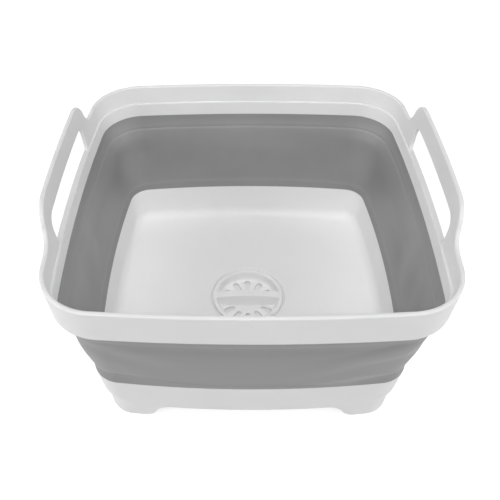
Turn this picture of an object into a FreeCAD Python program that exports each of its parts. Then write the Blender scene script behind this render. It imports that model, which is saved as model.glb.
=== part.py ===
"""Collapsible washing-up bowl: a tray and a rim joined by a folding wall, with a lift-out drain plug.

Millimetres, +Z up, X across the two handles, the front towards -Y.
The origin is on the table, under the middle of the bowl.
"""

import FreeCAD
import Part
import math
import os

from FreeCAD import Vector

# Heights, stacked from the table up
FOOT_HEIGHT = 19.0
FLOOR_THICKNESS = 2.2
TRAY_HEIGHT = 38.0
WALL_HEIGHT = 80.4
RIM_HEIGHT = 30.6
HANDLE_RISE = 27.0

# Rim frame, its plan measured along the lip
RIM_WIDTH = 300.0
RIM_DEPTH = 291.0
RIM_BOW = 7.5
RIM_CORNER = 44.0
RIM_DRAFT_DEG = 4.6
LIP_THICKNESS = 3.4
LIP_ROUND = 1.5
LEDGE_DROP = 17.3
LEDGE_WIDTH = 1.6
LEDGE_ROUND = 0.7
RIM_OVERHANG = 2.2
RIM_FOOT_ROUND = 0.8

# Handles, each a raised stretch of the rim with a finger slot
HANDLE_FLAT_LENGTH = 108.0
SHOULDER_RADIUS = 20.0
SHOULDER_FOOT_RADIUS = 16.0
SLOT_LENGTH = 121.0
SLOT_SINK = 4.0
GRIP_HEIGHT = 19.0
SLOT_CORNER = 9.5
SLOT_ROUND = 0.8

# Folding wall, moulded on to tray and rim with a tongue in each
UPPER_BAND_HEIGHT = 12.5
UPPER_BAND_THICKNESS = 2.4
LOWER_BAND_HEIGHT = 5.5
LOWER_BAND_THICKNESS = 4.2
PANEL_THICKNESS = 2.4
HINGE_THICKNESS = 1.8
HINGE_WIDTH = 1.4
HINGE_SLOPE = 1.2
TONGUE_THICKNESS = 1.2
TONGUE_HEIGHT = 6.5
TONGUE_SETBACK = 1.4
RIM_TONGUE_STEP = 0.4
BOND_GAP = 0.2

# Base tray, its plan measured along the top edge
TRAY_WIDTH = 262.0
TRAY_DEPTH = 252.2
TRAY_BOW = 9.2
TRAY_CORNER = 24.0
TRAY_DRAFT_DEG = 7.0
TRAY_WALL = 2.6
FLOOR_FILLET = 9.0
PINCH_HEIGHT = 10.0
PINCH_STEPS = 5
FLOOR_PINCH = 9.5
FOOT_PINCH = 5.0
FOOT_LENGTH = 32.0
FOOT_WALL = 2.6
FOOT_CURVE = 15.0
FOOT_ROUND = 1.2

# Drain plug
PLUG_RADIUS = 33.8
FLANGE_THICKNESS = 3.0
FLANGE_PROUD = 0.8
FLANGE_ROUND = 1.6
RING_SWELL = 0.29
DISH_RADIUS = 29.9
DISH_DEPTH = 9.5
DISH_SLOPE = 2.3
DISH_WALL = 1.8
DISH_FILLET = 4.5
BAR_TOP_WIDTH = 7.0
BAR_FOOT_WIDTH = 11.0
BAR_CROWN = 2.6
BAR_ROUND = 1.3
SLOT_PITCH_DEG = 30.0
STRAINER_SLOT_INNER = 14.5
STRAINER_SLOT_OUTER = 26.0
STRAINER_SLOT_TIP = 2.3
STRAINER_SLOT_END = 3.2
STEM_RADIUS = 5.0
BOSS_RADIUS = 12.5
BOSS_HEIGHT = 0.6
BARB_RADIUS = 6.4
BARB_LENGTH = 2.4

# Stopper disc and drain well
SEAL_RADIUS = 27.5
SEAL_THICKNESS = 2.6
SEAL_ROUND = 0.9
OUTLET_RADIUS = 17.0
WELL_WALL = 2.2
WELL_CLEARANCE = 0.8
FLANGE_SIDE_GAP = 1.0
FLANGE_SEAT_GAP = 0.3
DRAIN_EDGE_ROUND = 2.2

# How far a cutting shape runs past the faces it cuts, how near counts as touching,
# and the most of a wall, step or corner that a rounding may take up
PAST = 4.0
TOUCH = 0.01
ROUND_LIMIT = 0.9

# Levels and offsets that follow from the sizes above
FLOOR_Z = FOOT_HEIGHT + FLOOR_THICKNESS
TRAY_Z = FOOT_HEIGHT + TRAY_HEIGHT
WALL_Z = TRAY_Z + WALL_HEIGHT
LIP_Z = WALL_Z + RIM_HEIGHT
HANDLE_Z = LIP_Z + HANDLE_RISE
LEDGE_Z = LIP_Z - LEDGE_DROP
UPPER_HINGE_Z = WALL_Z - UPPER_BAND_HEIGHT
LOWER_HINGE_Z = TRAY_Z + LOWER_BAND_HEIGHT
RIM_SLOPE = math.tan(math.radians(RIM_DRAFT_DEG))
TRAY_SLOPE = math.tan(math.radians(TRAY_DRAFT_DEG))
FLANGE_Z = FLOOR_Z + FLANGE_PROUD
DISH_Z = FLANGE_Z - DISH_DEPTH
SEAL_Z = DISH_Z - DISH_WALL - BOSS_HEIGHT
SEAT_Z = SEAL_Z - SEAL_THICKNESS


class Outline:
    """A rectangle with bowed sides and round corners, seen from above."""

    def __init__(self, half_x, half_y, side_radius, end_radius, corner):
        self.half_x = half_x
        self.half_y = half_y
        self.side_radius = side_radius
        self.end_radius = end_radius
        self.corner = corner

    @classmethod
    def bowed(cls, width, depth, bow, corner):
        """An outline whose sides stand out by the bow over their full length."""
        half_x = width / 2
        half_y = depth / 2
        side_radius = (half_y ** 2 + bow ** 2) / (2 * bow)
        end_radius = (half_x ** 2 + bow ** 2) / (2 * bow)
        return cls(half_x, half_y, side_radius, end_radius, corner)

    def values(self):
        return (self.half_x, self.half_y, self.side_radius, self.end_radius, self.corner)

    def inset(self, distance):
        """The parallel outline that lies this far inside."""
        return Outline(*(value - distance for value in self.values()))

    def rounder(self, extra):
        """The same outline with larger corners."""
        *sides, corner = self.values()
        return Outline(*sides, corner + extra)

    def towards(self, other, share):
        """The outline this share of the way to another one."""
        pairs = zip(self.values(), other.values())
        return Outline(*(mine + (theirs - mine) * share for mine, theirs in pairs))

    def corner_points(self):
        """Where the corner arc in the +X +Y quarter starts, its middle and where it ends."""
        side = Vector(self.half_x - self.side_radius, 0, 0)
        end = Vector(0, self.half_y - self.end_radius, 0)
        side_reach = self.side_radius - self.corner
        end_reach = self.end_radius - self.corner
        line = end - side
        along = (side_reach ** 2 - end_reach ** 2 + line.Length ** 2) / (2 * line.Length)
        across = math.sqrt(side_reach ** 2 - along ** 2)
        line.normalize()
        centre = side + line * along + Vector(-line.y, line.x, 0) * across
        out_side = (centre - side).normalize()
        out_end = (centre - end).normalize()
        out_middle = (out_side + out_end).normalize()
        return [centre + out * self.corner for out in (out_side, out_middle, out_end)]

    def wire(self, z):
        """The closed outline at a height, as eight arcs."""
        first, middle, last = self.corner_points()
        side = Vector(self.half_x, 0, 0)
        end = Vector(0, self.half_y, 0)

        def at(point, sign_x, sign_y):
            return Vector(point.x * sign_x, point.y * sign_y, z)

        arcs = [
            (at(first, 1, -1), at(side, 1, 1), at(first, 1, 1)),
            (at(first, 1, 1), at(middle, 1, 1), at(last, 1, 1)),
            (at(last, 1, 1), at(end, 1, 1), at(last, -1, 1)),
            (at(last, -1, 1), at(middle, -1, 1), at(first, -1, 1)),
            (at(first, -1, 1), at(side, -1, 1), at(first, -1, -1)),
            (at(first, -1, -1), at(middle, -1, -1), at(last, -1, -1)),
            (at(last, -1, -1), at(end, -1, -1), at(last, 1, -1)),
            (at(last, 1, -1), at(middle, 1, -1), at(first, 1, -1)),
        ]
        return Part.Wire([Part.Arc(*points).toShape() for points in arcs])


RIM = Outline.bowed(RIM_WIDTH, RIM_DEPTH, RIM_BOW, RIM_CORNER)
TRAY = Outline.bowed(TRAY_WIDTH, TRAY_DEPTH, TRAY_BOW, TRAY_CORNER)


def rim_face(z):
    """The rim's outer face at a height, leaning out towards the top."""
    return RIM.inset((LIP_Z - z) * RIM_SLOPE)


def plain_tray(z):
    """The tray's outline at a height, leaning out towards the top."""
    return TRAY.inset((TRAY_Z - z) * TRAY_SLOPE)


def tray_face(z):
    """The tray's outer face at a height, its corners pinched in where the feet begin."""
    if z < FLOOR_Z:
        pinch = FOOT_PINCH + (FLOOR_PINCH - FOOT_PINCH) * z / FLOOR_Z
    else:
        share = max(0, 1 - (z - FLOOR_Z) / PINCH_HEIGHT)
        pinch = FLOOR_PINCH * share * share * (3 - 2 * share)
    return plain_tray(z).rounder(pinch)


def wall_face(z):
    """The folding wall's plain outer face at a height, from the tray's edge to under the rim."""
    top = rim_face(WALL_Z).inset(RIM_OVERHANG)
    return tray_face(TRAY_Z).towards(top, (z - TRAY_Z) / WALL_HEIGHT)


def loft(sections):
    """A solid through outlines given as (height, outline) pairs."""
    return Part.makeLoft([outline.wire(z) for z, outline in sections], True, True)


def band(face, low, high, outer, inner):
    """A ring that follows a face between two heights, from one depth under it to another."""
    outside = loft([(z, face(z).inset(outer)) for z in (low, high)])
    inside = loft([(z, face(z).inset(inner)) for z in (low - PAST, high + PAST)])
    return outside.cut(inside)


def prism(edges, direction):
    """A closed profile of edges, pushed along a direction."""
    return Part.Face(Part.Wire(edges)).extrude(direction)


def line(start, end):
    return Part.LineSegment(start, end).toShape()


def arc(start, middle, end):
    return Part.Arc(start, middle, end).toShape()


def polyline(points):
    return [line(start, end) for start, end in zip(points, points[1:])]


def s_bend(across, start, high, low, high_radius, low_radius):
    """The points of two arcs that run outwards from a high line down to a low one, flat at both ends."""
    turn = math.acos(1 - (high - low) / (low_radius + high_radius))
    reach = start + (low_radius + high_radius) * math.sin(turn)

    def crest(angle):
        drop = high_radius * (1 - math.cos(angle))
        return across * (start + high_radius * math.sin(angle)) + Vector(0, 0, high - drop)

    def toe(angle):
        climb = low_radius * (1 - math.cos(angle))
        return across * (reach - low_radius * math.sin(angle)) + Vector(0, 0, low + climb)

    return [crest(0), crest(turn / 2), crest(turn), toe(turn / 2), toe(0)]


def hill(across, flat_half, high, low, high_radius, low_radius, end_reach):
    """A profile that runs along a low line, over a raised flat and down again, with its two far ends."""
    right = s_bend(across, flat_half, high, low, high_radius, low_radius)
    left = s_bend(-across, flat_half, high, low, high_radius, low_radius)
    far_right = across * end_reach + Vector(0, 0, low)
    far_left = across * -end_reach + Vector(0, 0, low)
    edges = [
        line(far_left, left[4]),
        arc(left[4], left[3], left[2]),
        arc(left[2], left[1], left[0]),
        line(left[0], right[0]),
        arc(right[0], right[1], right[2]),
        arc(right[2], right[3], right[4]),
        line(right[4], far_right),
    ]
    return edges, far_left, far_right


def round_edges(shape, radius, picks):
    """The shape with every edge that the test picks rounded."""
    edges = [edge for edge in shape.Edges if picks(edge)]
    return shape.makeFillet(radius, edges)


def edge_middle(edge):
    return edge.valueAt((edge.FirstParameter + edge.LastParameter) / 2)


def above_rim():
    """Everything over the rim's lip and over the handles' tops."""
    reach = RIM_DEPTH
    across = Vector(0, 1, 0)
    flat_half = HANDLE_FLAT_LENGTH / 2
    edges, far_left, far_right = hill(
        across, flat_half, HANDLE_Z, LIP_Z, SHOULDER_RADIUS, SHOULDER_FOOT_RADIUS, reach
    )
    roof = Vector(0, 0, HANDLE_Z + 2 * PAST)
    top_right = across * reach + roof
    top_left = across * -reach + roof
    edges += polyline([far_right, top_right, top_left, far_left])
    start = Vector(-RIM_WIDTH, 0, 0)
    return prism([edge.translated(start) for edge in edges], Vector(2 * RIM_WIDTH, 0, 0))


def through_handles(half_length, low, high):
    """A block between two heights that reaches out through both handles."""
    return Part.makeBox(2 * RIM_WIDTH, 2 * half_length, high - low, Vector(-RIM_WIDTH, -half_length, low))


def with_finger_slots(rim):
    """The rim with a rounded slot through each handle, cut off level with the ledge, which runs out through it."""
    half_length = SLOT_LENGTH / 2
    low = LEDGE_Z - SLOT_SINK
    slot = round_edges(through_handles(half_length, low, HANDLE_Z - GRIP_HEIGHT), SLOT_CORNER, along_x)
    under_ledge = rim.common(through_handles(half_length + PAST, low - PAST, LEDGE_Z))
    slotted = round_edges(rim.cut(slot), SLOT_ROUND, on_slot_outside)
    slotted = slotted.fuse(under_ledge).removeSplitter()
    return round_edges(slotted, SLOT_ROUND, on_slot_inside)


def along_x(edge):
    return edge.BoundBox.XLength > RIM_WIDTH


def rim_frame():
    """The rim with its ledge, the groove for the wall's tongue and the two slotted handles."""
    top = HANDLE_Z + PAST
    shape = loft([(z, rim_face(z)) for z in (WALL_Z, top)])
    upper_inside = loft([(z, rim_face(z).inset(LIP_THICKNESS)) for z in (LEDGE_Z, top + PAST)])
    ledge_edge = rim_face(LEDGE_Z).inset(LIP_THICKNESS + LEDGE_WIDTH)
    foot_edge = wall_face(WALL_Z).inset(UPPER_BAND_THICKNESS)
    lower_inside = loft([(WALL_Z, foot_edge), (LEDGE_Z, ledge_edge)])
    shape = shape.cut(upper_inside.fuse(lower_inside))
    shape = shape.cut(above_rim())
    shape = round_edges(shape, min(LIP_ROUND, ROUND_LIMIT * LIP_THICKNESS / 2), on_lip)
    shape = round_edges(shape, min(RIM_FOOT_ROUND, ROUND_LIMIT * RIM_OVERHANG), on_rim_foot)
    shape = round_edges(shape, LEDGE_ROUND, on_ledge)
    shape = with_finger_slots(shape)
    setback = RIM_OVERHANG + RIM_TONGUE_STEP
    groove = band(
        rim_face, WALL_Z - PAST, WALL_Z + TONGUE_HEIGHT + BOND_GAP,
        setback - BOND_GAP, setback + TONGUE_THICKNESS + BOND_GAP,
    )
    return shape.cut(groove)


def on_lip(edge):
    """Edges along the lip and over the handles."""
    runs_along = edge.Length > 2 * LIP_THICKNESS
    return runs_along and edge.BoundBox.ZMin > LIP_Z - TOUCH


def on_rim_foot(edge):
    """The rim's lower outer edge."""
    level = edge.BoundBox.ZMax < WALL_Z + TOUCH
    return level and not encloses(wall_face(WALL_Z), edge_middle(edge))


def on_ledge(edge):
    """The ledge's inner edge."""
    box = edge.BoundBox
    level = abs(box.ZMin - LEDGE_Z) < TOUCH and abs(box.ZMax - LEDGE_Z) < TOUCH
    middle_of_ledge = rim_face(LEDGE_Z).inset(LIP_THICKNESS + LEDGE_WIDTH / 2)
    return level and encloses(middle_of_ledge, edge_middle(edge))


def encloses(outline, point):
    """Whether a point lies inside an outline drawn at its height."""
    return Part.Face(outline.wire(point.z)).isInside(point, TOUCH, True)


def on_slot(edge, low):
    """Edges round the finger slots over a height, on both faces of the rim wall."""
    box = edge.BoundBox
    half_length = SLOT_LENGTH / 2 + TOUCH
    in_height = box.ZMin > low - TOUCH and box.ZMax < HANDLE_Z - GRIP_HEIGHT + TOUCH
    in_length = box.YMin > -half_length and box.YMax < half_length
    crosses_wall = box.YLength < TOUCH and box.ZLength < TOUCH
    return in_height and in_length and not crosses_wall


def on_slot_outside(edge):
    """Edges round the finger slots on the rim's outer face."""
    middle = edge_middle(edge)
    middle_of_wall = rim_face(middle.z).inset(LIP_THICKNESS / 2)
    return on_slot(edge, LEDGE_Z - SLOT_SINK) and not encloses(middle_of_wall, middle)


def on_slot_inside(edge):
    """Edges round the finger slots on the rim's inner face, down to the ledge but not along it."""
    middle = edge_middle(edge)
    near_inner_face = rim_face(middle.z).inset(LIP_THICKNESS - TOUCH)
    over_ledge = edge.BoundBox.ZMax > LEDGE_Z + TOUCH
    return over_ledge and on_slot(edge, LEDGE_Z) and encloses(near_inner_face, middle)


def folding_wall():
    """The wall: bands at both ends, a groove for each fold and the broad panel between them."""
    groove = PANEL_THICKNESS - HINGE_THICKNESS
    half = HINGE_WIDTH / 2
    outer = [
        (TRAY_Z, 0),
        (LOWER_HINGE_Z - half - HINGE_SLOPE, 0),
        (LOWER_HINGE_Z - half, groove),
        (LOWER_HINGE_Z + half, groove),
        (LOWER_HINGE_Z + half + HINGE_SLOPE, 0),
        (WALL_Z, 0),
    ]
    inner = [
        (TRAY_Z - PAST, LOWER_BAND_THICKNESS),
        (TRAY_Z, LOWER_BAND_THICKNESS),
        (LOWER_HINGE_Z, PANEL_THICKNESS),
        (UPPER_HINGE_Z - half - HINGE_SLOPE, PANEL_THICKNESS),
        (UPPER_HINGE_Z - half, HINGE_THICKNESS),
        (UPPER_HINGE_Z + half, HINGE_THICKNESS),
        (UPPER_HINGE_Z + half + HINGE_SLOPE, UPPER_BAND_THICKNESS),
        (WALL_Z + PAST, UPPER_BAND_THICKNESS),
    ]
    outside_solid = loft([(z, wall_face(z).inset(depth)) for z, depth in outer])
    inside_solid = loft([(z, wall_face(z).inset(depth)) for z, depth in inner])
    near = RIM_OVERHANG + RIM_TONGUE_STEP
    top_tongue = band(rim_face, WALL_Z, WALL_Z + TONGUE_HEIGHT, near, near + TONGUE_THICKNESS)
    near = TONGUE_SETBACK
    low_tongue = band(plain_tray, TRAY_Z - TONGUE_HEIGHT, TRAY_Z, near, near + TONGUE_THICKNESS)
    return outside_solid.cut(inside_solid).fuse([top_tongue, low_tongue])


def arch(across, half_span):
    """The space under the tray between two feet, pushed right through from face to face."""
    turn = math.acos(1 - FOOT_HEIGHT / (2 * FOOT_CURVE))
    flat_half = half_span - 2 * FOOT_CURVE * math.sin(turn)
    reach = half_span + PAST
    edges, far_left, far_right = hill(across, flat_half, FOOT_HEIGHT, 0, FOOT_CURVE, FOOT_CURVE, reach)
    below = Vector(0, 0, -PAST)
    edges += polyline([far_right, far_right + below, far_left + below, far_left])
    through = Vector(across.y, across.x, 0) * max(TRAY_WIDTH, TRAY_DEPTH)
    return prism([edge.translated(-through) for edge in edges], through * 2)


def revolve(edges):
    """A profile in the XZ plane, turned once round the bowl's axis."""
    return Part.Face(Part.Wire(edges)).revolve(Vector(0, 0, 0), Vector(0, 0, 1), 360)


def at(radius, z):
    return Vector(radius, 0, z)


def quarter(centre, radius, start_deg, end_deg):
    """An arc in the XZ plane round a centre, from one angle to another, measured from +X to +Z."""
    def point(angle):
        turn = math.radians(angle)
        return centre + Vector(math.cos(turn), 0, math.sin(turn)) * radius

    return arc(point(start_deg), point((start_deg + end_deg) / 2), point(end_deg))


def drain_well():
    """The collar that the plug's flange sits in, the well under it and the seat round the outlet."""
    rebate = PLUG_RADIUS + FLANGE_SIDE_GAP
    rebate_z = FLANGE_Z - FLANGE_THICKNESS - FLANGE_SEAT_GAP
    bore = DISH_RADIUS + DISH_WALL + WELL_CLEARANCE
    edge_round = min(DRAIN_EDGE_ROUND, ROUND_LIMIT * (FLOOR_Z - rebate_z))
    collar_out = rebate + edge_round + WELL_WALL
    collar_low = rebate_z - WELL_WALL
    edges = polyline([
        at(rebate + edge_round, FLOOR_Z),
        at(collar_out, FLOOR_Z),
        at(collar_out, collar_low),
        at(bore + WELL_WALL, collar_low),
        at(bore + WELL_WALL, SEAT_Z - WELL_WALL),
        at(OUTLET_RADIUS, SEAT_Z - WELL_WALL),
        at(OUTLET_RADIUS, SEAT_Z),
        at(bore, SEAT_Z),
        at(bore, rebate_z),
        at(rebate, rebate_z),
        at(rebate, FLOOR_Z - edge_round),
    ])
    edges.append(quarter(at(rebate + edge_round, FLOOR_Z - edge_round), edge_round, 180, 90))
    return revolve(edges), collar_out


def base_tray():
    """The tray: filleted floor, a skirt cut into four feet, the drain well and the tongue's groove."""
    bends = [FLOOR_Z + PINCH_HEIGHT * step / PINCH_STEPS for step in range(PINCH_STEPS + 1)]
    shape = loft([(z, tray_face(z)) for z in (0, *bends, TRAY_Z)])
    shape = round_edges(shape, min(FOOT_ROUND, ROUND_LIMIT * FOOT_WALL), on_table)
    floor_edge = plain_tray(FLOOR_Z).inset(TRAY_WALL)
    top_edge = TRAY.inset(LOWER_BAND_THICKNESS)
    hollow = loft([(FLOOR_Z, floor_edge), (TRAY_Z, top_edge)])
    hollow = round_edges(hollow, min(FLOOR_FILLET, ROUND_LIMIT * floor_edge.corner), on_floor)
    skirt_inside = loft([(z, tray_face(z).inset(FOOT_WALL)) for z in (-PAST, FOOT_HEIGHT)])
    shape = shape.cut(hollow).cut(skirt_inside)
    table = tray_face(0)
    shape = shape.cut(arch(Vector(1, 0, 0), table.half_x - FOOT_LENGTH))
    shape = shape.cut(arch(Vector(0, 1, 0), table.half_y - FOOT_LENGTH))
    well, collar_out = drain_well()
    shape = shape.cut(Part.makeCylinder(collar_out, FLOOR_Z + PAST))
    shape = shape.fuse(well)
    groove = band(
        plain_tray, TRAY_Z - TONGUE_HEIGHT - BOND_GAP, TRAY_Z + PAST,
        TONGUE_SETBACK - BOND_GAP, TONGUE_SETBACK + TONGUE_THICKNESS + BOND_GAP,
    )
    return shape.cut(groove)


def on_table(edge):
    """The edge round the underside."""
    return edge.BoundBox.ZMax < TOUCH


def on_floor(edge):
    """The bottom edge of the tray's hollow."""
    return edge.BoundBox.ZMax < FLOOR_Z + TOUCH


def dish_bend(depth):
    """The arc between the dish's wall and floor, at a depth under the inner face, as three points."""
    foot = DISH_RADIUS - DISH_SLOPE + depth
    level = DISH_Z - depth
    fillet = DISH_FILLET + depth
    lean = math.atan2(DISH_SLOPE, DISH_DEPTH)
    run = fillet * math.tan((math.pi / 2 - lean) / 2)
    wall = Vector(math.sin(lean), 0, math.cos(lean))
    touch_wall = at(foot, level) + wall * run
    touch_floor = at(foot - run, level)
    centre = touch_floor + Vector(0, 0, fillet)
    middle = centre + ((touch_wall - centre) + (touch_floor - centre)).normalize() * fillet
    return touch_wall, middle, touch_floor


def drain_plug():
    """The plug: flange ring, slotted dish, crowned grip bar and the stopper's barbed stem."""
    tip = at(0, SEAT_Z - BARB_LENGTH)
    bend = FLANGE_ROUND
    lean = DISH_SLOPE / DISH_DEPTH
    flange_low = FLANGE_Z - FLANGE_THICKNESS
    out_wall, out_middle, out_floor = dish_bend(DISH_WALL)
    stem = [
        tip,
        at(BARB_RADIUS - bend, tip.z),
        at(BARB_RADIUS, SEAT_Z),
        at(STEM_RADIUS, SEAT_Z),
        at(STEM_RADIUS, SEAL_Z),
        at(BOSS_RADIUS, SEAL_Z),
        at(BOSS_RADIUS, DISH_Z - DISH_WALL),
        out_floor,
    ]
    flange = [
        out_wall,
        at(DISH_RADIUS + DISH_WALL - FLANGE_THICKNESS * lean, flange_low),
        at(PLUG_RADIUS, flange_low),
        at(PLUG_RADIUS, FLANGE_Z - bend),
    ]
    ring_out = at(PLUG_RADIUS - bend, FLANGE_Z)
    underside = polyline(stem) + [arc(out_floor, out_middle, out_wall)] + polyline(flange)
    underside.append(quarter(at(PLUG_RADIUS - bend, FLANGE_Z - bend), bend, 0, 90))
    ring_top = at(DISH_RADIUS + bend, FLANGE_Z)
    ring_in = at(DISH_RADIUS - bend * lean, FLANGE_Z - bend)
    ring_middle = (ring_top + ring_in) / 2 + Vector(-1, 0, 1).normalize() * bend * RING_SWELL
    in_wall, in_middle, in_floor = dish_bend(0)
    dish_centre = at(0, DISH_Z)
    topside = [
        line(ring_out, ring_top),
        arc(ring_top, ring_middle, ring_in),
        line(ring_in, in_wall),
        arc(in_wall, in_middle, in_floor),
        line(in_floor, dish_centre),
        line(dish_centre, tip),
    ]
    flat_top = at(0, FLANGE_Z)
    filled = revolve(underside + polyline([ring_out, flat_top, tip]))
    shape = revolve(underside + topside).cut(strainer_slots())
    return shape.fuse(grip_bar(filled))


def grip_bar(filled_plug):
    """The bar across the dish, crowned along its length and narrower at the top."""
    reach = DISH_RADIUS + DISH_WALL
    low = DISH_Z - DISH_WALL / 2
    crown = FLANGE_Z + BAR_CROWN
    right = Vector(reach, 0, FLANGE_Z)
    left = Vector(-reach, 0, FLANGE_Z)
    side = polyline([right, Vector(reach, 0, low), Vector(-reach, 0, low), left])
    side.append(arc(left, Vector(0, 0, crown), right))
    half = Vector(0, BAR_FOOT_WIDTH, 0)
    crowned = prism([edge.translated(-half) for edge in side], half * 2)
    foot = BAR_FOOT_WIDTH / 2
    head = BAR_TOP_WIDTH / 2
    corners = [(-foot, low), (foot, low), (head, crown), (-head, crown), (-foot, low)]
    tapered = prism(polyline([Vector(-reach, y, z) for y, z in corners]), Vector(2 * reach, 0, 0))
    bar = round_edges(crowned.common(tapered), BAR_ROUND, along_bar_top)
    above_dish = Part.makeCylinder(DISH_RADIUS, BAR_CROWN + PAST, Vector(0, 0, FLANGE_Z))
    return bar.common(filled_plug.fuse(above_dish))


def along_bar_top(edge):
    """The two long upper edges of the bar."""
    box = edge.BoundBox
    return box.XLength > DISH_RADIUS and box.ZMin > FLANGE_Z - DISH_DEPTH / 2


def strainer_slots():
    """Drop-shaped slots in the dish's floor, a full turn of them less the two under the bar."""
    tip = STRAINER_SLOT_INNER + STRAINER_SLOT_TIP
    end = STRAINER_SLOT_OUTER - STRAINER_SLOT_END
    lean = math.asin((STRAINER_SLOT_END - STRAINER_SLOT_TIP) / (end - tip))
    low = DISH_Z - DISH_WALL - PAST

    def touch(centre, radius, side):
        return Vector(centre - radius * math.sin(lean), side * radius * math.cos(lean), low)

    tip_left, tip_right = (touch(tip, STRAINER_SLOT_TIP, side) for side in (1, -1))
    end_left, end_right = (touch(end, STRAINER_SLOT_END, side) for side in (1, -1))
    drop = [
        line(tip_left, end_left),
        arc(end_left, Vector(STRAINER_SLOT_OUTER, 0, low), end_right),
        line(end_right, tip_right),
        arc(tip_right, Vector(STRAINER_SLOT_INNER, 0, low), tip_left),
    ]
    slot = prism(drop, Vector(0, 0, DISH_DEPTH + PAST))
    count = round(360 / SLOT_PITCH_DEG)
    steps = [k for k in range(count) if k % (count // 2)]
    axis = Vector(0, 0, 1)
    return [slot.rotated(Vector(0, 0, 0), axis, k * SLOT_PITCH_DEG) for k in steps]


def plug_seal():
    """The stopper disc: a flat rubber washer with a rounded rim."""
    bulge = SEAL_RADIUS - SEAL_ROUND
    hole = STEM_RADIUS
    edges = polyline([at(bulge, SEAT_Z), at(hole, SEAT_Z), at(hole, SEAL_Z), at(bulge, SEAL_Z)])
    edges.append(quarter(at(bulge, SEAL_Z - SEAL_ROUND), SEAL_ROUND, 90, 0))
    edges.append(line(at(SEAL_RADIUS, SEAL_Z - SEAL_ROUND), at(SEAL_RADIUS, SEAT_Z + SEAL_ROUND)))
    edges.append(quarter(at(bulge, SEAT_Z + SEAL_ROUND), SEAL_ROUND, 0, -90))
    return revolve(edges)


def main():
    os.makedirs("parts", exist_ok=True)
    pieces = {
        "rim_frame": rim_frame,
        "folding_wall": folding_wall,
        "base_tray": base_tray,
        "drain_plug": drain_plug,
        "plug_seal": plug_seal,
    }
    for name, make in pieces.items():
        shape = make().removeSplitter()
        shape = shape.Solids[0] if len(shape.Solids) == 1 else shape
        box = shape.BoundBox
        size = f"{box.XLength:.1f} x {box.YLength:.1f} x {box.ZLength:.1f} mm"
        volume = f"{shape.Volume / 1000:.1f} cm3"
        print(f"{name}: {len(shape.Solids)} solid, valid {shape.isValid()}, {size}, {volume}")
        shape.exportStep(f"parts/{name}.step")


main()
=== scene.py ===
"""Looks for a collapsible washing-up bowl: finishes for its mouldings, and its folding rubber wall.

Metres, +Z up, X across the two handles, the front towards -Y, as in the frame.
"""

import math

import bpy
from bpy.props import FloatProperty, FloatVectorProperty, IntProperty, PointerProperty
from mathutils import Matrix, Vector


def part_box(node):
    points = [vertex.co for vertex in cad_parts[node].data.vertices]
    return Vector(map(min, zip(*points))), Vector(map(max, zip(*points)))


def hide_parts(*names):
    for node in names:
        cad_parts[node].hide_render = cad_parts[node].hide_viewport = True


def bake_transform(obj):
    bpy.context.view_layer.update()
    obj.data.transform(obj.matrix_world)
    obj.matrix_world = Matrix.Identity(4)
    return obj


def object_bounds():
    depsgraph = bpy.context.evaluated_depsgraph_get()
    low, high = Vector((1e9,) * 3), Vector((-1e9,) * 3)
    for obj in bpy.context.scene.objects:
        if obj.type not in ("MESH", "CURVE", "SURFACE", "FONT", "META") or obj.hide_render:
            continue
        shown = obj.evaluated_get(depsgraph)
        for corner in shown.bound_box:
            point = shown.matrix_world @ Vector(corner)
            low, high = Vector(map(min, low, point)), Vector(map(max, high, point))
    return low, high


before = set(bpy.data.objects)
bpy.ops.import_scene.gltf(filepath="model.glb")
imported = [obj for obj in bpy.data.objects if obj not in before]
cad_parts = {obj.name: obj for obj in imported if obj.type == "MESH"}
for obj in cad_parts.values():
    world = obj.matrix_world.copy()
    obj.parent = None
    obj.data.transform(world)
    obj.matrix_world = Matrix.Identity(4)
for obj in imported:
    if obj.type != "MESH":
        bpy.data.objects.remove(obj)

bl_info = {
    "name": "Washing-up bowl",
    "version": (1, 0, 0),
    "blender": (4, 5, 0),
    "location": "View3D > Sidebar > Bowl",
    "description": "Finishes and folding wall for a collapsible washing-up bowl",
    "category": "Object",
}

CAD_LOW, CAD_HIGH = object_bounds()
TRAY_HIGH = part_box("base_tray")[1]
RIM_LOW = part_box("rim_frame")[0]
MM = 0.001


# Settings that a user would change


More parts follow.
